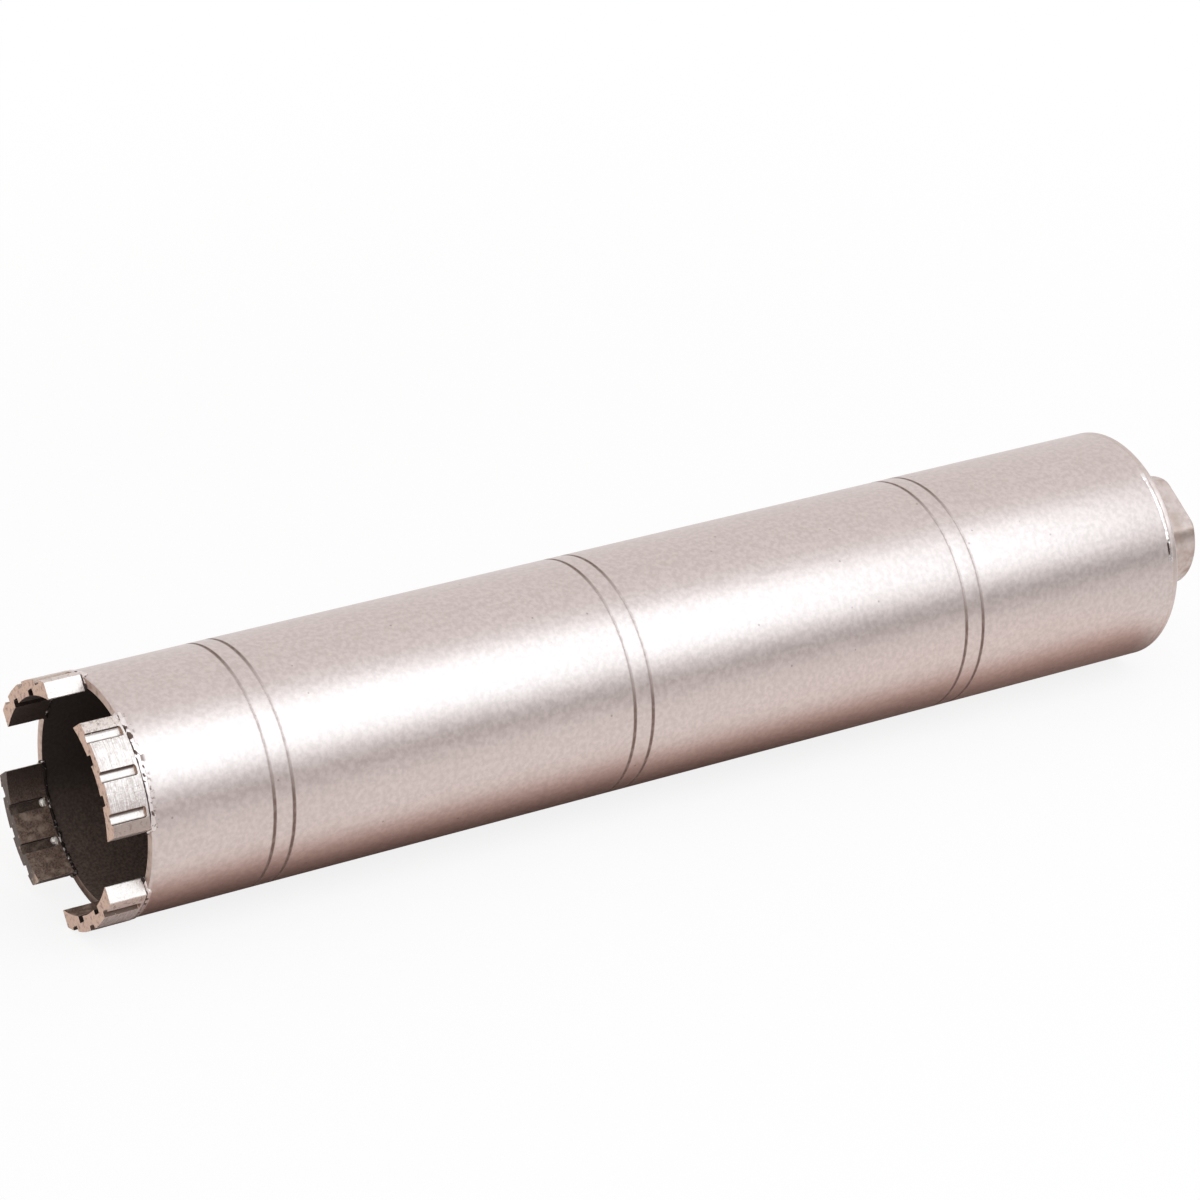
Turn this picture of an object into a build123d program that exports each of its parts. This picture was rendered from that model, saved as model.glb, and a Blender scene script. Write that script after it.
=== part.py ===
# Diamond core bit: a steel tube with four diamond segments at its mouth and a threaded hub at its back.
# Millimetres. The tube lies along X, mouth towards -X, and rests on the plane Z = 0.
# The origin is on that plane, under the middle of the overall length.
# Angles around the tube are measured from +Z towards -Y.
import os
from math import acos, asin, cos, degrees, radians, sin, sqrt

from build123d import *

# Tube
tube_diameter = 50.8
tube_wall = 2.3
tube_length = 252.8
rim_chamfer = 0.4

# Scribed depth lines, in pairs
line_pair_count = 3
first_pair_from_rim = 29.3
line_pair_pitch = 84.8
line_gap = 4.4
line_width = 0.4
line_depth = 0.2

# Segments
segment_count = 4
segment_width = 23.7
segment_thickness = 3.5
segment_height = 8.3
segment_outer_stand = 0.4
segment_corner_radius = 0.3
segment_base_strip = 0.8

# Grooves along a segment, on its outer and its inner side
outer_groove_pitch = 8.3
outer_groove_width = 1.9
outer_groove_depth = 1.0
inner_groove_width = 1.9
inner_groove_depth = 1.3

# Braze seam under each segment
braze_gap = 0.2
braze_leg = 0.6

# Hub
flange_thickness = 2.0
flange_edge_chamfer = 0.4
spigot_length = 4.0
spigot_clearance = 0.05
boss_diameter = 24.8
boss_length = 15.5
boss_end_chamfer = 0.4
wrench_flats = 21.0
wrench_flat_angle = 32.0
thread_minor_diameter = 13.8
thread_mouth_chamfer = 1.2

# Weld ring between the tube and the flange
weld_bevel = 0.6
weld_toe_depth = 0.2
weld_crown_width = 0.4

tube_radius = tube_diameter / 2
bore_radius = tube_radius - tube_wall
segment_outer_radius = tube_radius + segment_outer_stand
segment_inner_radius = segment_outer_radius - segment_thickness

# Places along X
mouth_height = segment_height + braze_gap
overall_length = mouth_height + tube_length + flange_thickness + boss_length
front_x = -overall_length / 2
rim_x = front_x + mouth_height
joint_x = rim_x + tube_length
flange_x = joint_x + flange_thickness
end_x = flange_x + boss_length

# The bit has rolled until the outer corner of one segment touches the floor
segment_half_angle = degrees(asin(segment_width / 2 / segment_outer_radius))
corner_contact_angle = degrees(acos(tube_radius / segment_outer_radius))
first_segment_angle = 180 - corner_contact_angle - segment_half_angle
segment_angles = [first_segment_angle + 360 / segment_count * k for k in range(segment_count)]

tube_axis = Axis((0, 0, tube_radius), (1, 0, 0))
profile_plane = Plane(origin=(0, 0, tube_radius), x_dir=(1, 0, 0), z_dir=(0, -1, 0))


def cross_plane(x, angle):
    """Plane across the tube at x, facing the hub, whose local Y points outwards at the angle."""
    tilt = radians(angle)
    return Plane(origin=(x, 0, tube_radius), x_dir=(0, cos(tilt), sin(tilt)), z_dir=(1, 0, 0))


def line_places():
    """Distances of the scribed lines from the rim."""
    centres = [first_pair_from_rim + line_pair_pitch * k for k in range(line_pair_count)]
    return [centre + side * line_gap / 2 for centre in centres for side in (-1, 1)]


def rise(offset):
    """Height of the segment's outer arc above the tube's axis at a sideways offset."""
    return sqrt(segment_outer_radius**2 - offset**2)


os.makedirs("parts", exist_ok=True)

with BuildPart() as barrel:
    with BuildSketch(profile_plane):
        with BuildLine():
            Polyline(
                (rim_x, bore_radius),
                (rim_x, tube_radius - rim_chamfer),
                (rim_x + rim_chamfer, tube_radius),
                (joint_x - weld_bevel, tube_radius),
                (joint_x, tube_radius - weld_bevel),
                (joint_x, bore_radius),
                close=True,
            )
        make_face()
        for place in line_places():
            with BuildLine():
                Polyline(
                    (rim_x + place - line_width / 2, tube_radius),
                    (rim_x + place, tube_radius - line_depth),
                    (rim_x + place + line_width / 2, tube_radius),
                    close=True,
                )
            make_face(mode=Mode.SUBTRACT)
    revolve(axis=tube_axis)
barrel.part.label = "barrel"
export_step(barrel.part, "parts/barrel.step")

with BuildPart() as hub:
    with BuildSketch(profile_plane):
        with BuildLine():
            Polyline(
                (joint_x - spigot_length, 0),
                (joint_x - spigot_length, bore_radius - spigot_clearance),
                (joint_x, bore_radius - spigot_clearance),
                (joint_x, tube_radius - weld_bevel),
                (joint_x + weld_bevel, tube_radius),
                (flange_x, tube_radius),
                (flange_x, boss_diameter / 2),
                (end_x, boss_diameter / 2),
                (end_x, 0),
                close=True,
            )
        make_face()
    revolve(axis=tube_axis)
    flange_edges = hub.edges().filter_by(GeomType.CIRCLE).filter_by_position(Axis.X, flange_x, flange_x)
    chamfer(flange_edges.sort_by(SortBy.RADIUS)[-1], flange_edge_chamfer)
    chamfer(hub.edges().group_by(Axis.X)[-1], boss_end_chamfer)
    with BuildSketch(cross_plane(flange_x, wrench_flat_angle)):
        flat_centre = (wrench_flats + boss_diameter) / 2
        with Locations((0, flat_centre), (0, -flat_centre)):
            Rectangle(2 * boss_diameter, boss_diameter)
    extrude(amount=boss_length, mode=Mode.SUBTRACT)
    with Locations(cross_plane(end_x, 0)):
        CounterSinkHole(
            thread_minor_diameter / 2,
            thread_minor_diameter / 2 + thread_mouth_chamfer,
            counter_sink_angle=90,
        )
hub.part.label = "hub"
export_step(hub.part, "parts/hub.step")

with BuildPart() as hub_weld:
    with BuildSketch(profile_plane):
        toe = weld_bevel - weld_toe_depth
        with BuildLine():
            Polyline(
                (joint_x, tube_radius - weld_bevel),
                (joint_x + toe, tube_radius - weld_toe_depth),
                (joint_x + weld_crown_width / 2, tube_radius),
                (joint_x - weld_crown_width / 2, tube_radius),
                (joint_x - toe, tube_radius - weld_toe_depth),
                close=True,
            )
        make_face()
    revolve(axis=tube_axis)
hub_weld.part.label = "hub_weld"
export_step(hub_weld.part, "parts/hub_weld.step")

outer_groove_places = [-outer_groove_pitch, 0, outer_groove_pitch]
inner_groove_places = [-outer_groove_pitch / 2, outer_groove_pitch / 2]

for number, angle in enumerate(segment_angles, start=1):
    front = cross_plane(front_x, angle)

    with BuildPart() as segment:
        with BuildSketch(front):
            Circle(segment_outer_radius)
            Circle(segment_inner_radius, mode=Mode.SUBTRACT)
            with Locations((0, segment_outer_radius)):
                Rectangle(segment_width, 2 * segment_outer_radius, mode=Mode.INTERSECT)
        extrude(amount=segment_height)
        with BuildSketch(front):
            for place in outer_groove_places:
                with Locations((place, rise(place) - outer_groove_depth)):
                    Rectangle(outer_groove_width, 2 * outer_groove_depth, align=(Align.CENTER, Align.MIN))
            for place in inner_groove_places:
                inner_rise = sqrt(segment_inner_radius**2 - place**2)
                with Locations((place, inner_rise + inner_groove_depth)):
                    Rectangle(inner_groove_width, 2 * inner_groove_depth, align=(Align.CENTER, Align.MAX))
        extrude(amount=segment_height - segment_base_strip, mode=Mode.SUBTRACT)
        corners = segment.edges().filter_by(Axis.X).group_by(SortBy.LENGTH)[-1]
        fillet(corners, segment_corner_radius)
    segment.part.label = f"segment_{number}"
    export_step(segment.part, f"parts/segment_{number}.step")

    with BuildPart() as segment_braze:
        with BuildSketch(profile_plane):
            with BuildLine():
                Polyline(
                    (rim_x - braze_gap, segment_inner_radius),
                    (rim_x - braze_gap, segment_outer_radius),
                    (rim_x, segment_outer_radius),
                    (rim_x + rim_chamfer + braze_leg, tube_radius),
                    (rim_x + rim_chamfer, tube_radius),
                    (rim_x, tube_radius - rim_chamfer),
                    (rim_x, bore_radius),
                    (rim_x + braze_leg, bore_radius),
                    (rim_x, segment_inner_radius),
                    close=True,
                )
            make_face()
        revolve(axis=tube_axis)
        with BuildSketch(front):
            with Locations((0, segment_outer_radius)):
                Rectangle(segment_width, 2 * segment_outer_radius)
        extrude(amount=overall_length, mode=Mode.INTERSECT)
    segment_braze.part.label = f"segment_braze_{number}"
    export_step(segment_braze.part, f"parts/segment_braze_{number}.step")
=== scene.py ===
"""Diamond core bit: the finished look of a steel tube with four brazed diamond segments and a threaded hub.

Metres. The tube lies along X with its mouth towards -X and rests on the plane Z = 0.
Angles around the tube are measured from +Z towards -Y, the camera's side.
"""

import math

import bmesh
import bpy
from mathutils import Matrix, Quaternion, Vector, noise


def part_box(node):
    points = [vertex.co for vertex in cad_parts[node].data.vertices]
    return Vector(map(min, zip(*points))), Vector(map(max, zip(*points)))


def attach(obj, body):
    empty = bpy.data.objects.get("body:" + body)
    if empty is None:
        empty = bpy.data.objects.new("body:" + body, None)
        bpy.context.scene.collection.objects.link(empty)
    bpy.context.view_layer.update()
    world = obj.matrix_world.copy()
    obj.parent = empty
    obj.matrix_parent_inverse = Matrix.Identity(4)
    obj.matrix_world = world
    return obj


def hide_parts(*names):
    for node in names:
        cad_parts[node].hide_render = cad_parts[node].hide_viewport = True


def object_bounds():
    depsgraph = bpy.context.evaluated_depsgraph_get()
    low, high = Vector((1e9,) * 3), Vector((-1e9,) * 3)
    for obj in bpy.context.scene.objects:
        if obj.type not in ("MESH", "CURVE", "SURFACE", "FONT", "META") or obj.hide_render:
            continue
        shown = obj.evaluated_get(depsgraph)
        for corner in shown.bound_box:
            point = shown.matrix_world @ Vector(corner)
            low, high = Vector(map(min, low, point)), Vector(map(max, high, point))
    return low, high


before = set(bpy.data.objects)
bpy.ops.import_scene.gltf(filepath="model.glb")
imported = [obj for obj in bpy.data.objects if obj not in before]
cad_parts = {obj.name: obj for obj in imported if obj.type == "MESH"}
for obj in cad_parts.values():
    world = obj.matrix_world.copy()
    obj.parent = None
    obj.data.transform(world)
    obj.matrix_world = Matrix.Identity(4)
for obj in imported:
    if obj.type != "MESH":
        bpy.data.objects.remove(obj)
cad_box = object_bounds()

MM = 0.001

# Sizes read from the frame
barrel_low, barrel_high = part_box("barrel")
hub_low, hub_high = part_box("hub")
rim_x = barrel_low.x
joint_x = barrel_high.x
tube_radius = (barrel_high.z - barrel_low.z) / 2
axis_z = (barrel_high.z + barrel_low.z) / 2
spigot_x = hub_low.x
end_x = hub_high.x
front_x = cad_box[0].x

# Tube
tube_wall = 2.3 * MM
rim_chamfer = 0.4 * MM
line_pair_count = 3
first_pair_from_rim = 29.3 * MM
line_pair_pitch = 84.8 * MM
line_gap = 4.4 * MM
line_width = 0.4 * MM
line_depth = 0.1 * MM
bore_radius = tube_radius - tube_wall

# Segments
segment_width = 23.7 * MM
segment_thickness = 3.5 * MM
segment_outer_radius = tube_radius + 0.4 * MM
segment_inner_radius = segment_outer_radius - segment_thickness
segment_half_angle = math.asin(segment_width / 2 / segment_outer_radius)
contact_angle = math.acos(tube_radius / segment_outer_radius)
first_segment_angle = math.pi - contact_angle - segment_half_angle
groove_pitch = 8.3 * MM
groove_floor_radius = segment_outer_radius - 1.0 * MM
segment_names = ["segment_1", "segment_2", "segment_3", "segment_4"]
segment_angles = [first_segment_angle + math.tau / 4 * k for k in range(4)]
segment_voxel = 0.16 * MM
crystal_radius = 0.16 * MM
crystals_per_area = 0.45 / MM**2

# Braze seams
bead_radius = 0.42 * MM
bead_lump = 0.30 * MM
bead_stand = 0.25 * MM
bead_drops = 22
bead_voxel = 0.091 * MM

# Hub
flange_thickness = 2.0 * MM
flange_edge = 0.4 * MM
spigot_clearance = 0.05 * MM
weld_bevel = 0.6 * MM
weld_crown = 0.05 * MM
boss_radius = 12.4 * MM
boss_end_chamfer = 0.4 * MM
flat_apothem = 10.5 * MM
flat_angle = math.radians(32)
flat_softness = 0.18 * MM
thread_minor_radius = 6.9 * MM
thread_major_radius = 8.0 * MM
thread_pitch = 2.0 * MM
thread_mouth_chamfer = 1.2 * MM
flange_x = joint_x + flange_thickness

# Stretches where the weld was not ground flush, each with its middle angle and half its spread, and its pits
weld_openings = [(math.radians(a), math.radians(b)) for a, b in ((53, 25), (165, 24), (-80, 30))]
weld_pits = [math.radians(a) for a in (70, 171, -96)]

# Faces around the tube, around the hub and around the weld
tube_columns = 384
hub_columns = 512
weld_columns = 900

WHITE = (1, 1, 1, 1)


# Node trees

class Wire:
    """An output socket that builds Math nodes when it is used in an expression."""

    def __init__(self, graph, socket):
        self.graph = graph
        self.socket = socket

    def out(self, name):
        """Another output of the same node."""
        return Wire(self.graph, self.socket.node.outputs[name])

    def __add__(self, other):
        return self.graph.math("ADD", self, other)

    def __sub__(self, other):
        return self.graph.math("SUBTRACT", self, other)

    def __rsub__(self, other):
        return self.graph.math("SUBTRACT", other, self)

    def __mul__(self, other):
        return self.graph.math("MULTIPLY", self, other)

    def __truediv__(self, other):
        return self.graph.math("DIVIDE", self, other)

    def __rtruediv__(self, other):
        return self.graph.math("DIVIDE", other, self)

    def __pow__(self, other):
        return self.graph.math("POWER", self, other)

    __radd__ = __add__
    __rmul__ = __mul__


class Graph:
    """A shader or geometry node tree that is written as expressions."""

    def __init__(self, tree):
        self.tree = tree

    def feed(self, socket, value):
        """Links a wire to the socket, or sets the socket's own value."""
        if isinstance(value, Wire):
            self.tree.links.new(value.socket, socket)
        else:
            socket.default_value = value

    def add(self, kind, inputs=None, output=0, **settings):
        """A node of that type: its settings are set first, then the values or links of its inputs."""
        node = self.tree.nodes.new(kind)
        for name, value in settings.items():
            setattr(node, name, value)
        for key, value in (inputs or {}).items():
            self.feed(node.inputs[key], value)
        return Wire(self, node.outputs[output]) if node.outputs else node

    def math(self, operation, *values):
        return self.add("ShaderNodeMath", dict(enumerate(values)), operation=operation)

    def vector_math(self, operation, *values, output=0):
        return self.add("ShaderNodeVectorMath", dict(enumerate(values)), output, operation=operation)

    def scaled(self, vector, factor):
        """A vector made longer or shorter."""
        return self.add("ShaderNodeVectorMath", {0: vector, "Scale": factor}, operation="SCALE")

    def step(self, value, low, high):
        """A smooth step from 0 at low to 1 at high."""
        sockets = {"Value": value, "From Min": low, "From Max": high}
        return self.add("ShaderNodeMapRange", sockets, interpolation_type="SMOOTHSTEP")

    def mix(self, factor, first, second):
        """Two colours mixed: all first at 0, all second at 1."""
        return self.add("ShaderNodeMix", {0: factor, 6: first, 7: second}, 2, data_type="RGBA")

    def ramp(self, value, stops):
        """A colour read off between stops, each (value, colour)."""
        node = self.tree.nodes.new("ShaderNodeValToRGB")
        marks = node.color_ramp.elements
        while len(marks) < len(stops):
            marks.new(0.5)
        for mark, (position, tone) in zip(marks, stops):
            mark.position = position
            mark.color = tone
        self.feed(node.inputs[0], value)
        return Wire(self, node.outputs[0])

    def vector(self, x, y, z):
        return self.add("ShaderNodeCombineXYZ", {0: x, 1: y, 2: z})

    def split(self, vector):
        """The X of a vector, whose out("Y") and out("Z") are the other two."""
        return self.add("ShaderNodeSeparateXYZ", {0: vector})

    def noise(self, place, size, detail=2.0, roughness=0.5):
        """Noise from 0 to 1 whose patches are about that size across."""
        sockets = {"Vector": place, "Scale": 1 / size, "Detail": detail, "Roughness": roughness}
        return self.add("ShaderNodeTexNoise", sockets)


def colour(red, green, blue):
    """A colour from its values on a screen, 0 to 255."""
    def linear(value):
        share = value / 255
        return share / 12.92 if share <= 0.04045 else ((share + 0.055) / 1.055) ** 2.4
    return (linear(red), linear(green), linear(blue), 1.0)


class Finish(Graph):
    """A material with one Principled shader, and the places that its patterns follow.

    y and z are measured from the tube's axis. sideways is the distance across from the middle of the nearest
    segment, and across is the same without its sign.
    """

    def __init__(self, name):
        self.material = bpy.data.materials.new(name)
        self.material.use_nodes = True
        super().__init__(self.material.node_tree)
        self.shader = self.tree.nodes["Principled BSDF"]
        self.place = self.add("ShaderNodeTexCoord", output="Object")
        parts = self.split(self.place)
        self.x = parts.out("X")
        self.y = parts.out("Y")
        self.z = parts.out("Z") - axis_z
        self.radius = (self.y * self.y + self.z * self.z) ** 0.5
        self.angle = self.math("ARCTAN2", self.y * -1, self.z)
        from_middle = self.math("WRAP", self.angle - segment_angles[0], math.pi / 4, -math.pi / 4)
        self.sideways = self.radius * self.math("SINE", from_middle)
        self.across = self.math("ABSOLUTE", self.sideways)

    def facing(self, rising, falling):
        """1 on one stretch around the tube, with the degrees over which it rises to 1 and falls from it."""
        rise = self.step(self.angle, *map(math.radians, rising))
        return rise * (1 - self.step(self.angle, *map(math.radians, falling)))

    def angle_from(self, middle):
        """The angle between each place and the middle angle, whichever way round is shorter."""
        return self.math("ABSOLUTE", self.math("WRAP", self.angle - middle, math.pi, -math.pi))

    def surface(self, height=None, depth=0.05 * MM, strength=1.0, **sockets):
        """Sets the shader's sockets, named with underscores, and a bump from the height."""
        for name, value in sockets.items():
            label = "IOR" if name == "ior" else name.replace("_", " ").title()
            self.feed(self.shader.inputs[label], value)
        if height is not None:
            bump = {"Height": height, "Distance": depth, "Strength": strength}
            self.feed(self.shader.inputs["Normal"], self.add("ShaderNodeBump", bump))
        return self.material


def silver_finish(f):
    """The silver of the tube and hub, for one material: its grain, its mottling and its colour."""
    grain = f.noise(f.place, 0.45 * MM, 3.0, 0.6)
    mottle = f.step(f.noise(f.place, 1.1 * MM, 2.0), 0.30, 0.70)
    cloud = f.noise(f.place, 14 * MM, 2.0)
    silver = f.mix(grain * 0.5 + mottle * 0.5, colour(189, 175, 171), colour(220, 206, 202))
    return grain, mottle, f.mix(cloud * 0.35, silver, colour(197, 181, 175))


def satin_steel():
    """The tube's silver finish, its scribed lines, faded on one side by a painted highlight, and burnt flux
    by the segments.
    """
    f = Finish("satin_steel")
    grain, mottle, silver = silver_finish(f)
    speck_cells = f.add("ShaderNodeTexVoronoi", {"Vector": f.place, "Scale": 1 / (6 * MM)})
    specks = 1 - f.step(speck_cells, 0.030, 0.055)
    silver = f.mix(specks * 0.45, silver, colour(110, 94, 88))

    from_first = f.x - rim_x - first_pair_from_rim
    from_pair = f.math("WRAP", from_first, line_pair_pitch / 2, -line_pair_pitch / 2)
    from_line = f.math("ABSOLUTE", f.math("ABSOLUTE", from_pair) - line_gap / 2)
    broken = f.noise(f.vector(f.x, f.y * 0.5, f.z * 0.5), 0.7 * MM, 2.0)
    line = (1 - f.step(from_line, 0.22 * MM, 0.56 * MM)) * (0.80 + f.step(broken, 0.30, 0.60) * 0.20)
    # Painted highlight: the lines fade on the stretch round the tube where the lamp's highlight lies
    line_highlight_fade = f.facing((-2, 32), (56, 86))
    line = line * (1 - line_highlight_fade * (0.68 + f.step(broken, 0.4, 0.6) * 0.22))

    half = segment_width / 2
    near_rim = 1 - f.step(f.x, rim_x + 1.0 * MM, rim_x + 2.0 * MM)
    by_segment = near_rim * (1 - f.step(f.across, half - 0.5 * MM, half + 0.8 * MM))
    flux = by_segment * f.step(f.noise(f.place, 1.3 * MM, 3.0, 0.6), 0.56, 0.64)
    tone = f.mix(line, silver, colour(118, 96, 88))
    return f.surface(
        height=grain, depth=0.02 * MM, strength=0.28,
        base_color=f.mix(flux * 0.8, tone, colour(104, 80, 68)),
        roughness=0.31 + grain * 0.10 + mottle * 0.03 + line * 0.2,
        metallic=1 - line * 0.3 - flux * 0.4,
    )


def hub_steel():
    """The hub's silver finish, with faint turning marks, and a boss tan at its foot and patinated, with
    painted shade on its underside and just below its flats.
    """
    f = Finish("hub_steel")
    grain, _, silver = silver_finish(f)
    turning = f.noise(f.vector(f.radius, f.x, 0.0), 0.15 * MM, 2.0)
    stain = f.step(f.noise(f.place, 2.2 * MM, 3.0), 0.45, 0.7)
    tone = f.mix(0.10 + stain * 0.22, silver, colour(176, 154, 142))

    boss = 1 - f.step(f.radius, boss_radius + 0.1 * MM, boss_radius + 0.5 * MM)
    boss_foot = 1 - f.step(f.x, flange_x + 0.2 * MM, flange_x + 1.2 * MM)
    # Painted shade: the boss darker on its underside and in a band just below each flat's lower edge; below
    # also thickens the patina there
    below = f.step(f.angle, math.radians(75), math.radians(120))
    shade_under_flat = f.facing((60, 64), (70, 84))
    patina_and_underside_shade = (0.6 + below) * f.step(f.noise(f.place, 3.5 * MM, 3.0, 0.6), 0.40, 0.66)
    tone = f.mix(boss * f.math("MAXIMUM", patina_and_underside_shade * 0.5, boss_foot * 0.6), tone, colour(150, 122, 106))
    tone = f.mix(boss * (below * 0.15 + shade_under_flat * 0.30), tone, colour(150, 120, 104))
    return f.surface(
        height=grain + turning * 0.5, depth=0.02 * MM, strength=0.4,
        base_color=tone,
        roughness=0.30 + grain * 0.10 + stain * 0.08, metallic=1.0,
    )


def cut_steel():
    """The turned faces of the rim and its chamfer, a little tan."""
    f = Finish("cut_steel")
    turning = f.noise(f.vector(f.radius, 0.0, 0.0), 0.12 * MM, 2.0)
    stain = f.noise(f.place, 1.6 * MM, 3.0)
    tone = f.mix(turning, colour(174, 149, 136), colour(210, 189, 178))
    tone = f.mix(f.step(stain, 0.45, 0.75) * 0.6, tone, colour(140, 114, 100))
    return f.surface(
        height=turning, depth=0.02 * MM, strength=0.4,
        base_color=tone, roughness=0.42 + stain * 0.15, metallic=1.0,
    )


def mill_scale():
    """The brown scale inside the tube, darkened by painted shade above its lower side."""
    f = Finish("mill_scale")
    grain = f.noise(f.place, 0.6 * MM, 3.0, 0.6)
    streak = f.noise(f.vector(f.x * 0.15, f.y, f.z), 3.0 * MM, 3.0)
    # Painted shade: the bore darker towards its upper side
    upper_shade = f.step(f.z, -20 * MM, -4 * MM)
    tone = f.mix(f.step(grain, 0.25, 0.75), colour(80, 65, 58), colour(138, 118, 107))
    tone = f.mix(streak * 0.5, tone, colour(80, 65, 57))
    tone = f.mix(upper_shade * 0.85, tone, colour(38, 29, 25))
    return f.surface(
        height=grain, depth=0.03 * MM, strength=0.5,
        base_color=tone, roughness=0.62 + grain * 0.15, metallic=0.25,
    )


def sintered_metal():
    """The segments: lands, groove walls, tan front faces and dark inner faces, by the way each face looks."""
    f = Finish("sintered_metal")
    outward = f.add("ShaderNodeAttribute", attribute_name="outward").out("Fac")
    forward = f.add("ShaderNodeAttribute", attribute_name="forward").out("Fac")
    grain = f.noise(f.place, 0.35 * MM, 3.0, 0.65)
    pitted = f.step(f.noise(f.place, 0.9 * MM, 3.0, 0.7), 0.50, 0.66)

    # Outer side: ground lands, duller ones at the ends with painted shade on those facing about 60 to 95
    # degrees round, and bright groove floors with painted shadow along their edges
    grinding = f.noise(f.vector(f.x * 6.0, f.angle * tube_radius * 0.5, f.radius), 1.2 * MM, 3.0, 0.6)
    bright = f.mix(grain, colour(186, 170, 163), colour(236, 226, 221))
    land = f.mix(f.step(grinding, 0.20, 0.80), colour(180, 164, 157), colour(230, 220, 216))
    land = f.mix(pitted * 0.30, land, colour(150, 130, 121))
    dull = f.mix(grain, colour(188, 172, 164), colour(238, 226, 220))
    dull = f.mix(pitted * 0.55, dull, colour(118, 98, 89))
    # Painted shade: end lands darker where they face about 60 to 95 degrees round the tube
    dull = f.mix(f.facing((59, 63), (90, 95)) * 0.6, dull, colour(148, 127, 118))
    end_land = f.step(f.across, groove_pitch + 0.8 * MM, groove_pitch + 1.2 * MM)
    land_share = f.step(outward, 0.75, 0.95) * f.step(f.radius, tube_radius - 0.2 * MM, tube_radius)
    tone = f.mix(land_share, bright, f.mix(end_land, land, dull))

    # Groove walls, darkest at the foot, and lightened with painted light on the segment above the axis. A
    # segment's ends stay bright.
    wall_height = f.radius - groove_floor_radius
    # Painted light: the upper part of the outer groove walls paler on the segment above the axis
    far_top_light = f.step(f.y, 1 * MM, 5 * MM) * f.step(f.z, 5 * MM, 10 * MM)
    wall = f.mix(f.step(wall_height, -0.6 * MM, -0.3 * MM), colour(58, 43, 37), colour(104, 83, 73))
    wall = f.mix(far_top_light * 0.7 * f.step(wall_height, 0.0, 0.2 * MM), wall, colour(196, 170, 156))
    front_share = f.step(forward, 0.55, 0.85)
    inside_ends = 1 - f.step(f.across, segment_width / 2 - 1.25 * MM, segment_width / 2 - 0.65 * MM)
    wall_share = (1 - f.step(f.math("ABSOLUTE", outward), 0.5, 0.93)) * (1 - front_share) * inside_ends
    tone = f.mix(wall_share, tone, wall)

    # Painted shadow of the groove walls: dark along both edges of each groove floor, more on one side
    in_groove = f.math("WRAP", f.sideways, groove_pitch / 2, -groove_pitch / 2)
    groove_edge_shadow = 1 - f.step(in_groove, -0.75 * MM, -0.35 * MM) + f.step(in_groove, 0.50 * MM, 0.85 * MM) * 0.8
    below_lands = 1 - f.step(f.radius, tube_radius - 0.5 * MM, tube_radius - 0.3 * MM)
    groove_floor = f.step(outward, 0.5, 0.8) * below_lands
    tone = f.mix(groove_edge_shadow * groove_floor * 0.85, tone, colour(84, 62, 53))

    # Front faces: tan, darker on the far side, and bright by the rim, where the inner grooves end
    front = f.mix(grain, colour(176, 143, 124), colour(226, 196, 177))
    front = f.mix(pitted * 0.6, front, colour(112, 84, 72))
    dark_patch = f.step(f.noise(f.place, 1.5 * MM, 2.0), 0.60, 0.68)
    # Here burnt is only the darker tone given to the far segment's front faces
    burnt = f.mix(dark_patch, colour(56, 43, 37), colour(150, 124, 108))
    far_side = f.step(f.y, 8 * MM, 12 * MM) * (1 - f.step(f.z, -3 * MM, 5 * MM))
    by_rim = f.step(f.x, rim_x - 2.0 * MM, rim_x - 1.5 * MM)
    groove_foot = by_rim * (1 - f.step(wall_height, -0.4 * MM, 0.0))
    tone = f.mix(front_share, tone, f.mix(far_side * 0.9, front, burnt))
    tone = f.mix(front_share * groove_foot, tone, colour(250, 242, 236))

    # Inner side: dark, with tan blotches low down, and painted shade darkening its upper part and its inner
    # grooves
    blotch = f.step(f.noise(f.place, 1.8 * MM, 3.0, 0.6), 0.45, 0.72)
    low_down = 1 - f.step(f.z, -12 * MM, -4 * MM)
    inner_groove_shade = f.step(f.radius, segment_inner_radius + 0.3 * MM, segment_inner_radius + 0.8 * MM)
    inner = f.mix(f.step(grain, 0.2, 0.8), colour(70, 52, 43), colour(166, 138, 123))
    inner = f.mix(pitted * 0.4, inner, colour(64, 50, 43))
    inner = f.mix(blotch * 0.6 * low_down, inner, colour(214, 188, 168))
    # Painted shade: the inner faces darker from low down upwards
    inner = f.mix(f.step(f.z, -16 * MM, -2 * MM) * 0.88, inner, colour(44, 33, 27))
    inner = f.mix(inner_groove_shade * 0.45, inner, colour(44, 33, 28))
    inner_share = 1 - f.step(outward, -0.9, -0.6)
    tone = f.mix(inner_share, tone, inner)

    underside = f.step(outward, 0.6, 0.9) * (1 - f.step(f.z, -16 * MM, -8 * MM))
    return f.surface(
        height=grain + pitted * -0.6, depth=0.06 * MM, strength=0.5,
        base_color=tone,
        roughness=0.38 + grain * 0.12 + inner_share * 0.20,
        metallic=1 - inner_share * 0.6 - front_share * 0.25 - wall_share * 0.5 - underside * 0.4,
    )


def diamond_grit():
    """Diamond crystals, pale amber and glassy."""
    f = Finish("diamond_grit")
    tint = f.noise(f.place, 1.1 * MM, 1.0)
    return f.surface(
        base_color=f.mix(tint, colour(150, 128, 96), colour(226, 214, 190)),
        roughness=0.18 + tint * 0.1, metallic=0.0, ior=2.0,
    )


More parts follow.
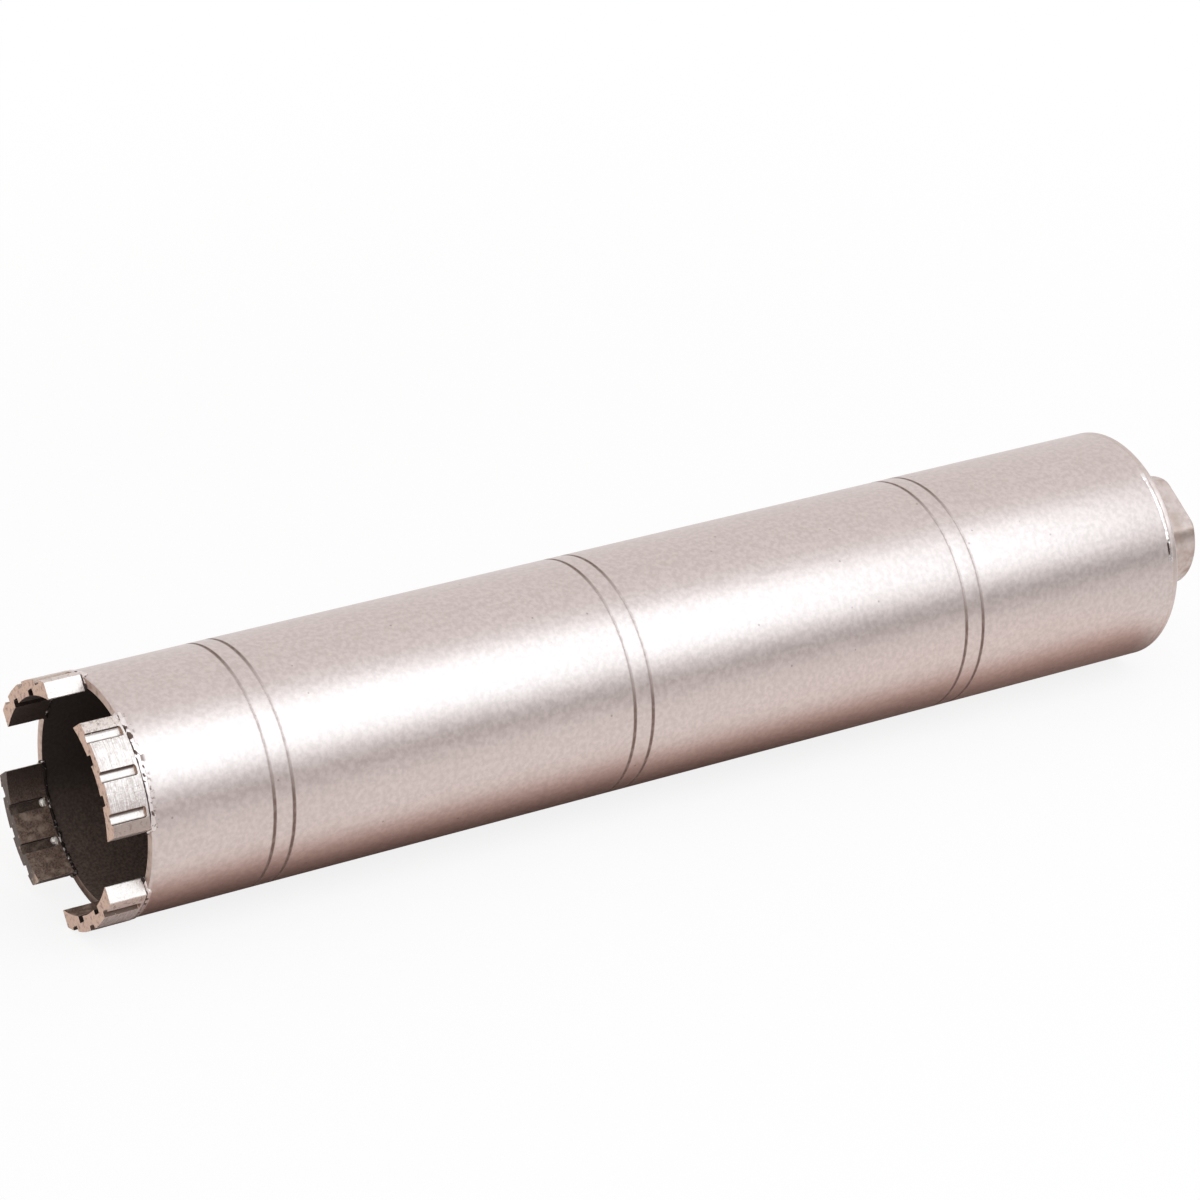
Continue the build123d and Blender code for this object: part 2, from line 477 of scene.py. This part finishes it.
def braze_silver():
    """Silver solder with patches of dark burnt flux along the seam; inside the tube they are more and darker,
    partly painted shade.
    """
    f = Finish("braze_silver")
    wave = f.noise(f.place, 0.8 * MM, 3.0, 0.6)
    flux = f.noise(f.place, 1.5 * MM, 2.0, 0.5)
    # Partly painted shade: inside the tube the flux patches are more and darker
    inside = 1 - f.step(f.radius, bore_radius + 0.4 * MM, bore_radius + 1.2 * MM)
    at_seam = f.step(f.x, rim_x - 0.8 * MM, rim_x - 0.6 * MM)
    burnt = f.step(flux + inside * 0.15, 0.55, 0.62) * at_seam
    tone = f.mix(wave, colour(206, 192, 188), colour(240, 228, 224))
    tone = f.mix(at_seam, colour(255, 246, 238), tone)
    tone = f.mix(burnt, tone, f.mix(inside, colour(92, 72, 63), colour(46, 34, 29)))
    return f.surface(
        height=wave, depth=0.03 * MM, strength=0.3,
        base_color=tone, roughness=0.40 + burnt * 0.3, metallic=0.3 + at_seam * 0.6 - burnt * 0.6,
    )


def weld_silver():
    """The weld ring: the tube's silver where it is ground flush, a near-white bead where it is open, partly
    bare metal and partly a painted highlight, and pits darkened with painted shade.
    """
    f = Finish("weld_silver")
    grain, _, silver = silver_finish(f)
    ripple = f.noise(f.vector(f.x, f.angle * tube_radius, 0.0), 1.1 * MM, 2.0)
    middle_line = 1 - f.step(f.math("ABSOLUTE", f.x - joint_x), 0.20 * MM, 0.42 * MM)
    opened = 0.0
    for middle, spread in weld_openings:
        away = f.angle_from(middle)
        end_blob = f.step(away, spread * 0.75, spread * 0.85)
        shown = f.math("MAXIMUM", middle_line, end_blob) * (1 - f.step(away, spread * 0.9, spread))
        opened = f.math("MAXIMUM", opened, shown)
    # Partly a painted highlight: the bead on the open stretches is near white
    bead = f.mix(ripple, colour(214, 202, 198), colour(255, 252, 250))
    tone = f.mix(opened, silver, bead)
    pit = 0.0
    for middle in weld_pits:
        shown = 1 - f.step(f.angle_from(middle), math.radians(2.6), math.radians(3.8))
        pit = f.math("MAXIMUM", pit, shown)
    pit = pit * (1 - f.step(f.x, joint_x - 0.10 * MM, joint_x + 0.15 * MM))
    # Painted shade in the pits
    tone = f.mix(pit, tone, colour(74, 54, 48))
    return f.surface(
        height=grain + ripple * opened, depth=0.03 * MM, strength=0.5,
        base_color=tone, roughness=0.40 - opened * 0.14, metallic=1 - pit * 0.5,
    )


def thread_steel():
    """The cut thread, bare steel with a film of oil."""
    f = Finish("thread_steel")
    cut = f.noise(f.vector(f.x, f.radius, 0.0), 0.2 * MM, 2.0)
    return f.surface(
        base_color=f.mix(cut, colour(158, 144, 136), colour(212, 198, 190)),
        roughness=0.30 + cut * 0.12, metallic=0.55,
    )


# Mesh helpers

def around(x, radius, angle):
    """A point at that place along the axis, distance from it and angle."""
    return Vector((x, -radius * math.sin(angle), axis_z + radius * math.cos(angle)))


def add_object(name, data):
    """A new object in the scene, at the origin."""
    holder = bpy.data.objects.new(name, data)
    bpy.context.scene.collection.objects.link(holder)
    return holder


def link_piece(name, mesh, replaced=None):
    """Adds a finished mesh to the scene as a piece of the one rigid body."""
    piece = add_object(name, mesh)
    if replaced:
        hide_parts(replaced)
    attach(piece, "root")
    return piece


def shade(mesh, crease_degrees=28):
    """Smooth shading that keeps edges sharper than the crease angle."""
    mesh.shade_smooth()
    mesh.set_sharp_from_angle(angle=math.radians(crease_degrees))


def rounded(points, radius, steps=3):
    """A closed outline of (x, radius, material) with its corners rounded.

    Each corner is cut back by the radius, or by less where its sides are short.
    """
    made = []
    count = len(points)
    for k, (x, r, material) in enumerate(points):
        corner = Vector((x, r))
        before = Vector(points[k - 1][:2]) - corner
        after = Vector(points[(k + 1) % count][:2]) - corner
        cut = min(radius, before.length * 0.4, after.length * 0.4)
        start = corner + before.normalized() * cut
        stop = corner + after.normalized() * cut
        for i in range(steps + 1):
            t = i / steps
            point = start * (1 - t) ** 2 + corner * 2 * t * (1 - t) + stop * t**2
            made.append((point.x, point.y, material))
    return made


def lathe(name, outline, columns, materials, shape=None):
    """A closed ring turned from an outline of (x, radius, material).

    shape(x, radius, angle) may move a point, and gives its new x and radius.
    """
    mesh = bpy.data.meshes.new(name)
    work = bmesh.new()
    angles = [math.tau * k / columns for k in range(columns)]
    rings = []
    for x, r, _ in outline:
        places = [shape(x, r, a) if shape else (x, r) for a in angles]
        rings.append([work.verts.new(around(*place, a)) for place, a in zip(places, angles)])
    for k, ring in enumerate(rings):
        following = rings[(k + 1) % len(rings)]
        for i in range(columns):
            j = (i + 1) % columns
            face = work.faces.new((ring[i], ring[j], following[j], following[i]))
            face.material_index = outline[k][2]
    bmesh.ops.recalc_face_normals(work, faces=work.faces)
    work.to_mesh(mesh)
    work.free()
    for material in materials:
        mesh.materials.append(material)
    shade(mesh)
    return mesh


# Geometry node helpers

def geometry_tree(name, inputs):
    """A geometry tree with a geometry input and named number inputs, whose wires are in graph.sources."""
    tree = bpy.data.node_groups.new(name, "GeometryNodeTree")
    tree.interface.new_socket(name="Geometry", in_out="INPUT", socket_type="NodeSocketGeometry")
    for label, value in inputs.items():
        kind = "NodeSocketInt" if isinstance(value, int) else "NodeSocketFloat"
        tree.interface.new_socket(name=label, in_out="INPUT", socket_type=kind)
    tree.interface.new_socket(name="Geometry", in_out="OUTPUT", socket_type="NodeSocketGeometry")
    graph = Graph(tree)
    source = graph.add("NodeGroupInput")
    graph.sources = {label: source.out(label) for label in ["Geometry", *inputs]}
    return graph


def finish_tree(graph, geometry, material):
    """Ends the tree in Realize Instances and Set Material."""
    geometry = graph.add("GeometryNodeRealizeInstances", {0: geometry})
    geometry = graph.add("GeometryNodeSetMaterial", {"Geometry": geometry, "Material": material})
    graph.add("NodeGroupOutput", {0: geometry})


def grown(base_mesh, graph, inputs, name):
    """The plain mesh that the tree makes of the base mesh."""
    holder = add_object(name + "_base", base_mesh)
    modifier = holder.modifiers.new(name, "NODES")
    modifier.node_group = graph.tree
    for item in graph.tree.interface.items_tree:
        if item.in_out == "INPUT" and item.name in inputs:
            modifier[item.identifier] = inputs[item.name]
    return taken(holder, name)


def taken(holder, name):
    """The evaluated mesh of a helper object, which is then removed."""
    view = bpy.context.evaluated_depsgraph_get()
    mesh = bpy.data.meshes.new_from_object(holder.evaluated_get(view))
    mesh.name = name
    bpy.data.objects.remove(holder)
    return mesh


# Pieces

def tube():
    """The barrel: bright outside with its scribed lines, cut rim, dark bore."""
    silver, cut, scale = 0, 1, 2
    outline = [
        (rim_x, bore_radius, cut),
        (rim_x, tube_radius - rim_chamfer, silver),
        (rim_x + rim_chamfer, tube_radius, silver),
    ]
    for k in range(line_pair_count):
        for side in (-1, 1):
            centre = rim_x + first_pair_from_rim + line_pair_pitch * k + side * line_gap / 2
            outline += [
                (centre - line_width / 2, tube_radius, silver),
                (centre, tube_radius - line_depth, silver),
                (centre + line_width / 2, tube_radius, silver),
            ]
    outline += [
        (joint_x - weld_bevel, tube_radius, silver),
        (joint_x, tube_radius - weld_bevel, cut),
        (joint_x, bore_radius, scale),
    ]
    finishes = [satin_steel(), cut_steel(), mill_scale()]
    mesh = lathe("tube", rounded(outline, 0.08 * MM), tube_columns, finishes)
    return link_piece("tube", mesh, "barrel")


def boss_shape(x, radius, angle):
    """Moves a point of the boss inwards on to the wrench flats, with softened corners between flat and round.

    The flange, the hole and its chamfer stay round.
    """
    past_flange = flange_x + 0.02 * MM
    past_chamfer = thread_major_radius + 1.6 * MM
    if x < past_flange or radius < past_chamfer:
        return x, radius
    toward = abs(math.cos(angle - flat_angle))
    flat_radius = flat_apothem / max(toward, 0.2)
    gap = (radius - flat_radius) / flat_softness
    if gap > 30:  # the softening is nil, and its exponential would be huge
        return x, flat_radius
    return x, radius - flat_softness * math.log1p(math.exp(gap))


def hub():
    """The hub: spigot, flange and boss in one piece, with its two wrench flats."""
    silver, cut, bore = 0, 1, 2
    mouth = thread_minor_radius + thread_mouth_chamfer
    spigot_radius = bore_radius - spigot_clearance
    outline = [
        (spigot_x, thread_major_radius, cut),
        (spigot_x, spigot_radius, cut),
        (joint_x, spigot_radius, cut),
        (joint_x, tube_radius - weld_bevel, silver),
        (joint_x + weld_bevel, tube_radius, silver),
        (flange_x - flange_edge, tube_radius, silver),
        (flange_x, tube_radius - flange_edge, silver),
        (flange_x, boss_radius, silver),
        (end_x - boss_end_chamfer, boss_radius, silver),
        (end_x, boss_radius - boss_end_chamfer, cut),
        (end_x, mouth, cut),
        (end_x - (mouth - thread_major_radius), thread_major_radius, bore),
    ]
    finishes = [hub_steel(), cut_steel(), thread_steel()]
    mesh = lathe("hub_body", rounded(outline, 0.12 * MM), hub_columns, finishes, boss_shape)
    return link_piece("hub_body", mesh, "hub")


def weld_shape(x, radius, angle):
    """Sinks the weld's crown a little on its open stretches and deep at its pits, never above the tube."""
    groove_foot = tube_radius - weld_bevel * 0.6
    if radius < groove_foot:
        return x, radius

    def away(middle):
        return abs((angle - middle + math.pi) % math.tau - math.pi)

    def openness(middle, spread):
        return min(1.0, max(0.0, (spread - away(middle)) / (0.2 * spread)))

    ripples_per_mm = 1.1
    place = Vector((math.cos(angle), math.sin(angle), 0.0)) * tube_radius / MM
    ripple = noise.noise(place * ripples_per_mm + Vector((7.0, 3.0, (x - joint_x) / MM)))
    opened = max(openness(middle, spread) for middle, spread in weld_openings)
    pit = max(math.exp(-(away(middle) / math.radians(2.2)) ** 4) for middle in weld_pits)
    ground, hollow, unevenness, pit_depth = 0.01, 0.08, 0.10, 0.45  # millimetres
    sink = ground + opened * (hollow + unevenness * ripple) + (pit * pit_depth if x < joint_x else 0.0)
    return x, radius - max(0.0, sink) * MM


def hub_weld():
    """The weld ring in the groove between tube and flange."""
    toe = weld_bevel - 0.02 * MM
    toe_radius = tube_radius - weld_crown
    outline = [(joint_x, tube_radius - weld_bevel, 0), (joint_x + toe, toe_radius, 0)]
    crown_steps = 8
    for k in range(1, crown_steps):
        across = 1 - 2 * k / crown_steps
        outline.append((joint_x + toe * across, tube_radius - weld_crown * across**2, 0))
    outline.append((joint_x - toe, toe_radius, 0))
    mesh = lathe("weld_ring", outline, weld_columns, [weld_silver()], weld_shape)
    return link_piece("weld_ring", mesh, "hub_weld")


def hub_thread():
    """The thread inside the hub: one ridge wound along the bore, which tapers at both ends."""
    graph = geometry_tree("thread_ridge", {"Pitch": 0.0, "Turns": 0.0, "Root Radius": 0.0, "Height": 0.0})
    pitch, turns, root, height = [graph.sources[n] for n in ("Pitch", "Turns", "Root Radius", "Height")]
    path = graph.add("GeometryNodeCurveSpiral", {
        "Resolution": 96, "Rotations": turns, "Height": pitch * turns,
        "Start Radius": root, "End Radius": root,
    })
    path = graph.add("GeometryNodeSetCurveNormal", {"Curve": path}, mode="Z_UP")
    # The ridge has its full size from half a turn after each end
    along = graph.add("GeometryNodeSplineParameter").out("Factor") * turns
    from_end = graph.math("MINIMUM", along, turns - along)
    lead = graph.math("MINIMUM", from_end * 2.0 + 0.02, 1.0)
    # The profile's crest is its bottom side, and its root is sunk in the metal by a fifth of its height
    profile = graph.add("GeometryNodeCurvePrimitiveQuadrilateral", {
        "Bottom Width": pitch * 0.25, "Top Width": pitch, "Height": height * 1.2, "Offset": 0.0,
    }, mode="TRAPEZOID")
    profile = graph.add("GeometryNodeTransform", {
        "Geometry": profile, "Translation": graph.vector(height * 0.4, 0.0, 0.0),
        "Rotation": (0.0, 0.0, math.radians(90)),
    })
    ridge = graph.add("GeometryNodeCurveToMesh", {
        "Curve": path, "Profile Curve": profile, "Scale": lead, "Fill Caps": True,
    })
    finish_tree(graph, ridge, thread_steel())
    length = end_x - spigot_x - 2 * thread_mouth_chamfer
    sizes = {
        "Pitch": thread_pitch, "Turns": length / thread_pitch,
        "Root Radius": thread_major_radius, "Height": thread_major_radius - thread_minor_radius,
    }
    mesh = grown(bpy.data.meshes.new("thread_base"), graph, sizes, "hub_thread")
    start = Vector((spigot_x + thread_mouth_chamfer, 0, axis_z))
    mesh.transform(Matrix.Translation(start) @ Matrix.Rotation(math.radians(90), 4, "Y"))
    shade(mesh)
    return link_piece("hub_thread", mesh)


def merged_copy(node):
    """A copy of a CAD node's mesh with its loose triangles joined."""
    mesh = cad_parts[node].data.copy()
    work = bmesh.new()
    work.from_mesh(mesh)
    bmesh.ops.remove_doubles(work, verts=work.verts, dist=0.001 * MM)
    work.to_mesh(mesh)
    work.free()
    return mesh


def remeshed(mesh, voxel, name):
    """The same closed shape in even small faces, which softens its edges by about one face."""
    holder = add_object(name, mesh)
    remesh = holder.modifiers.new("remesh", "REMESH")
    remesh.mode = "VOXEL"
    remesh.voxel_size = voxel
    return taken(holder, name)


def sinter_tree():
    """Roughens a segment as pressed and sintered powder, and marks which way its faces look."""
    graph = geometry_tree("sintered_relief", {"Grain": 0.0, "Relief": 0.0, "Wave": 0.0, "Sink": 0.0})
    source = graph.sources
    place = graph.add("GeometryNodeInputPosition")
    normal = graph.add("GeometryNodeInputNormal")
    parts = graph.split(place)
    outward = graph.vector_math("NORMALIZE", graph.vector(0.0, parts.out("Y"), parts.out("Z") - axis_z))
    marked = source["Geometry"]
    looks = {
        "outward": graph.vector_math("DOT_PRODUCT", normal, outward, output="Value"),
        "forward": graph.split(normal) * -1,
    }
    for label, value in looks.items():
        marked = graph.add(
            "GeometryNodeStoreNamedAttribute", {"Geometry": marked, "Name": label, "Value": value},
            data_type="FLOAT", domain="POINT",
        )
    fine, broad = [
        graph.add("ShaderNodeTexNoise", {"Vector": place, "Scale": share / source["Grain"], "Detail": 2.0})
        for share in (1, 0.15)
    ]
    rise = (fine - 0.5) * source["Relief"] + (broad - 0.5) * source["Wave"] - source["Sink"]
    moved = graph.add("GeometryNodeSetPosition", {"Geometry": marked, "Offset": graph.scaled(normal, rise)})
    finish_tree(graph, moved, sintered_metal())
    return graph


def grit_tree():
    """Scatters diamond crystals over the working faces, each sunk in the metal and none past the front."""
    graph = geometry_tree("diamond_grit", {"Crystal": 0.0, "Density": 0.0, "Seed": 0})
    source = graph.sources
    outward = graph.add("GeometryNodeInputNamedAttribute", {"Name": "outward"}, data_type="FLOAT")
    working = graph.math("GREATER_THAN", outward, -0.5)
    points = graph.add("GeometryNodeDistributePointsOnFaces", {
        "Mesh": source["Geometry"], "Selection": working,
        "Density": source["Density"], "Seed": source["Seed"],
    })
    inward = graph.scaled(points.out("Normal"), source["Crystal"] * -1.0)
    points = graph.add("GeometryNodeSetPosition", {"Geometry": points, "Offset": inward})
    crystal = graph.add("GeometryNodeMeshIcoSphere", {"Radius": source["Crystal"], "Subdivisions": 1})
    turn = graph.add("FunctionNodeRandomValue", {
        0: (0.0, 0.0, 0.0), 1: (math.tau, math.tau, math.tau), "Seed": source["Seed"],
    }, data_type="FLOAT_VECTOR")
    size = graph.add("FunctionNodeRandomValue", {
        2: 0.6, 3: 1.15, "Seed": source["Seed"],
    }, 1, data_type="FLOAT")
    placed = graph.add("GeometryNodeInstanceOnPoints", {
        "Points": points, "Instance": crystal, "Rotation": turn, "Scale": size,
    })
    placed = graph.add("GeometryNodeRealizeInstances", {0: placed})
    parts = graph.split(graph.add("GeometryNodeInputPosition"))
    held = graph.vector(graph.math("MAXIMUM", parts.out("X"), front_x), parts.out("Y"), parts.out("Z"))
    placed = graph.add("GeometryNodeSetPosition", {"Geometry": placed, "Position": held})
    finish_tree(graph, placed, diamond_grit())
    return graph


def segments():
    """The four diamond segments with their crystals."""
    sinter = sinter_tree()
    grit = grit_tree()
    relief = {"Grain": 0.35 * MM, "Relief": 0.07 * MM, "Wave": 0.07 * MM, "Sink": 0.125 * MM}
    for number, name in enumerate(segment_names, start=1):
        smooth = remeshed(merged_copy(name), segment_voxel, name)
        rough = grown(smooth, sinter, relief, f"diamond_{name}")
        rough.shade_smooth()
        link_piece(f"diamond_{name}", rough, name)
        scatter = {"Crystal": crystal_radius, "Density": crystals_per_area, "Seed": number}
        crystals = grown(rough.copy(), grit, scatter, f"grit_{number}")
        link_piece(f"grit_{number}", crystals)


def seam_wire(angle):
    """The wire of the seam under the segment at that angle.

    One loop runs round the joint, and a short piece stands where a drop fills the end of each inner groove.
    """
    steps = 40
    half = segment_width / 2
    outer_x, inner_x, drop_x = rim_x + 0.32 * MM, rim_x + 0.10 * MM, rim_x - 1.2 * MM
    drop_radius, drop_half = 22.9 * MM, 0.12 * MM
    row = [half * (2 * k / steps - 1) for k in range(steps + 1)]
    sides = [(outer_x, tube_radius, row), (inner_x, bore_radius, row[::-1])]
    points = [around(x, radius, angle - math.asin(u / radius)) for x, radius, us in sides for u in us]
    edges = [(k, (k + 1) % len(points)) for k in range(len(points))]
    for centre in (-groove_pitch / 2, groove_pitch / 2):
        first = len(points)
        drop = [centre + side * drop_half for side in (-1, 0, 1)]
        points += [around(drop_x, drop_radius, angle + u / bore_radius) for u in drop]
        edges += [(first, first + 1), (first + 1, first + 2)]
    mesh = bpy.data.meshes.new("seam")
    mesh.from_pydata(points, edges, [])
    return mesh


def braze_tree(material):
    """An uneven bead of solder along a seam, with drops where it gathered, all within reach of the axis."""
    graph = geometry_tree("braze_bead", {"Bead": 0.0, "Lump": 0.0, "Drops": 0, "Reach": 0.0, "Seed": 0})
    source = graph.sources
    place = graph.add("GeometryNodeInputPosition")
    seam = graph.add("GeometryNodeMeshToCurve", {"Mesh": source["Geometry"]})
    seam = graph.add("GeometryNodeResampleCurve", {
        "Curve": seam, "Length": source["Bead"] * 0.4,
    }, mode="LENGTH")

    # The bead, thicker and thinner along the seam
    flow_size = 1.4 * MM
    flow = graph.add("ShaderNodeTexNoise", {
        "Vector": place, "W": source["Seed"], "Scale": 1 / flow_size, "Detail": 2.0,
    }, noise_dimensions="4D")
    swelling = graph.step(flow, 0.30, 0.75) * 0.55 + 0.9
    section = graph.add("GeometryNodeCurvePrimitiveCircle", {"Resolution": 12, "Radius": source["Bead"]})
    bead = graph.add("GeometryNodeCurveToMesh", {
        "Curve": seam, "Profile Curve": section, "Scale": swelling, "Fill Caps": True,
    })

    # Drops, each shifted off the seam by up to 0.8 of the bead and of its own size
    drops = graph.add("GeometryNodeCurveToPoints", {"Curve": seam, "Count": source["Drops"]})
    shift = graph.add("FunctionNodeRandomValue", {
        0: (-1.0, -1.0, -1.0), 1: (1.0, 1.0, 1.0), "Seed": source["Seed"],
    }, data_type="FLOAT_VECTOR")
    drops = graph.add("GeometryNodeSetPosition", {
        "Geometry": drops, "Offset": graph.scaled(shift, source["Bead"] * 0.8),
    })
    ball = graph.add("GeometryNodeMeshIcoSphere", {"Radius": source["Bead"], "Subdivisions": 3})
    size = graph.add("FunctionNodeRandomValue", {
        2: 0.7, 3: 1.7, "Seed": source["Seed"],
    }, 1, data_type="FLOAT")
    drops = graph.add("GeometryNodeInstanceOnPoints", {"Points": drops, "Instance": ball, "Scale": size})
    drops = graph.add("GeometryNodeRealizeInstances", {0: drops})

    # Lumps on both, and nothing farther from the axis than the reach
    whole = graph.add("GeometryNodeJoinGeometry", {0: bead})
    graph.feed(whole.socket.node.inputs[0], drops)
    lump_size = 0.7 * MM
    rise = (graph.noise(place, lump_size) - 0.5) * source["Lump"]
    lumps = graph.scaled(graph.add("GeometryNodeInputNormal"), rise)
    whole = graph.add("GeometryNodeSetPosition", {"Geometry": whole, "Offset": lumps})
    parts = graph.split(place)
    side, height = parts.out("Y"), parts.out("Z") - axis_z
    shrink = graph.math("MINIMUM", source["Reach"] / (side * side + height * height) ** 0.5, 1.0)
    held = graph.vector(parts.out("X"), side * shrink, height * shrink + axis_z)
    whole = graph.add("GeometryNodeSetPosition", {"Geometry": whole, "Position": held})
    finish_tree(graph, whole, material)
    return graph


def brazes():
    """The silver solder seams under the segments."""
    solder = braze_silver()
    braze = braze_tree(solder)
    for number, angle in enumerate(segment_angles, start=1):
        sizes = {
            "Bead": bead_radius, "Lump": bead_lump, "Drops": bead_drops,
            "Reach": tube_radius + bead_stand, "Seed": number,
        }
        bead = grown(seam_wire(angle), braze, sizes, f"braze_{number}")
        bead = remeshed(bead, bead_voxel, f"braze_seam_{number}")
        bead.materials.clear()
        bead.materials.append(solder)
        bead.shade_smooth()
        link_piece(f"braze_seam_{number}", bead, f"segment_braze_{number}")


# Camera and light

def camera():
    """The camera at the photograph's viewing angle."""
    place = Vector((-0.5170, -0.7675, 0.4756))
    aim = Vector((-0.01215, 0.0, 0.04187))
    roll = math.radians(2.10)
    data = bpy.data.cameras.new("camera")
    data.sensor_width = 36
    data.lens = 145.36
    data.clip_start = 0.01
    data.clip_end = 50
    holder = add_object("camera", data)
    holder.rotation_mode = "QUATERNION"
    holder.location = place
    holder.rotation_quaternion = (aim - place).to_track_quat("-Z", "Y") @ Quaternion((0, 0, 1), roll)
    bpy.context.scene.camera = holder


def key_light():
    """One large softbox above the camera's side."""
    place = Vector((0.44, -0.844, 1.058))
    aim = Vector((0.44, 0.0, 0.03))
    data = bpy.data.lights.new("key_light", "AREA")
    data.shape = "RECTANGLE"
    data.size = 1.6
    data.size_y = 1.28
    data.energy = 10.5
    data.color = (0.71, 0.90, 1.0)
    holder = add_object("key_light", data)
    holder.rotation_mode = "QUATERNION"
    holder.location = place
    holder.rotation_quaternion = (aim - place).to_track_quat("-Z", "Y")
    holder.visible_camera = False


def seen(graph):
    """1 for rays from the camera and for those that metal and glass show, otherwise 0."""
    path = graph.add("ShaderNodeLightPath")
    rays = [path.out(name) for name in ("Is Camera Ray", "Is Glossy Ray", "Is Transmission Ray")]
    return graph.math("MAXIMUM", graph.math("MAXIMUM", rays[0], rays[1]), rays[2])


def surroundings():
    """A white world, dimmer where it lights the part."""
    as_light = 0.75
    world = bpy.data.worlds.new("studio")
    world.use_nodes = True
    bpy.context.scene.world = world
    graph = Graph(world.node_tree)
    background = world.node_tree.nodes["Background"]
    graph.feed(background.inputs["Color"], WHITE)
    graph.feed(background.inputs["Strength"], as_light + seen(graph) * (1 - as_light))


def studio_plane(name, corners, shading, only_reflected=False):
    """A flat plane that belongs to the studio. shading(graph, place) gives its shader."""
    mesh = bpy.data.meshes.new(name)
    mesh.from_pydata(corners, [], [(0, 1, 2, 3)])
    material = bpy.data.materials.new(name)
    material.use_nodes = True
    nodes = material.node_tree.nodes
    nodes.remove(nodes["Principled BSDF"])
    graph = Graph(material.node_tree)
    place = graph.add("ShaderNodeTexCoord", output="Object")
    graph.feed(nodes["Material Output"].inputs["Surface"], shading(graph, place))
    mesh.materials.append(material)
    plane = add_object(name, mesh)
    if only_reflected:
        plane.visible_camera = False
        plane.visible_diffuse = False
        plane.visible_shadow = False
        plane.visible_transmission = False


def floor():
    """A wide floor that glows white, a little less near the part, where its soft shadow shows."""
    half = 8.0
    near, far = 0.18, 0.5
    near_glow = 0.84

    def shading(graph, place):
        away = graph.vector_math("LENGTH", place, output="Value")
        lit = graph.add("ShaderNodeBsdfDiffuse", {"Color": (0.98, 0.92, 0.90, 1)})
        white = graph.add("ShaderNodeEmission", {"Color": WHITE, "Strength": 1.0})
        share = seen(graph) * (near_glow + graph.step(away, near, far) * (1 - near_glow))
        return graph.add("ShaderNodeMixShader", {0: share, 1: lit, 2: white})

    studio_plane("floor", [(-half, -half, 0), (half, -half, 0), (half, half, 0), (-half, half, 0)], shading)


def card(name, corners, tone):
    """A plain card that only shows in what the metal reflects. tone(graph, place) gives its colour."""
    def shading(graph, place):
        return graph.add("ShaderNodeEmission", {"Color": tone(graph, place), "Strength": 1.08})

    studio_plane(name, corners, shading, only_reflected=True)


def front_card():
    """A card standing in front, brown where the mouth reflects it, nearly black where the hub does."""
    start, stop, y = -2.5, 4.0, -1.6
    start_height, stop_height = 0.04, 0.62
    brown_until, dark_from = 0.45, 1.05

    def tone(graph, place):
        darkening = graph.step(graph.split(place), brown_until, dark_from)
        return graph.mix(darkening, colour(150, 127, 123), colour(8, 2, 2))

    corners = [(start, y, 0.0), (stop, y, 0.0), (stop, y, stop_height), (start, y, start_height)]
    card("front_card", corners, tone)


def under_card():
    """A card lying under the tube that the metal reflects as a painted shadow: dark below it, paler towards
    the hub, white beside it and past its end.
    """
    start, stop, fade = front_x, joint_x + 0.020, 0.018
    half, lift = 0.105, 0.0003

    def tone(graph, place):
        parts = graph.split(place)
        dark = graph.ramp(graph.math("ABSOLUTE", parts.out("Y")) / half, [
            (0.09, colour(10, 5, 4)), (0.13, colour(44, 28, 24)), (0.17, colour(96, 72, 64)),
            (0.21, colour(150, 123, 115)), (0.25, colour(192, 167, 159)), (0.30, colour(232, 219, 213)),
            (0.37, WHITE),
        ])
        paler = graph.step(parts.out("X"), 0.0, 0.12) * 0.104 + 0.046
        dark = graph.mix(paler, dark, colour(255, 225, 215))
        return graph.mix(graph.step(parts.out("X"), stop - fade, stop), dark, WHITE)

    corners = [(start, -half, lift), (stop, -half, lift), (stop, half, lift), (start, half, lift)]
    card("under_card", corners, tone)


camera()
tube()
hub()
hub_weld()
hub_thread()
segments()
brazes()
surroundings()
floor()
key_light()
front_card()
under_card()

bpy.context.scene.view_settings.view_transform = "Standard"
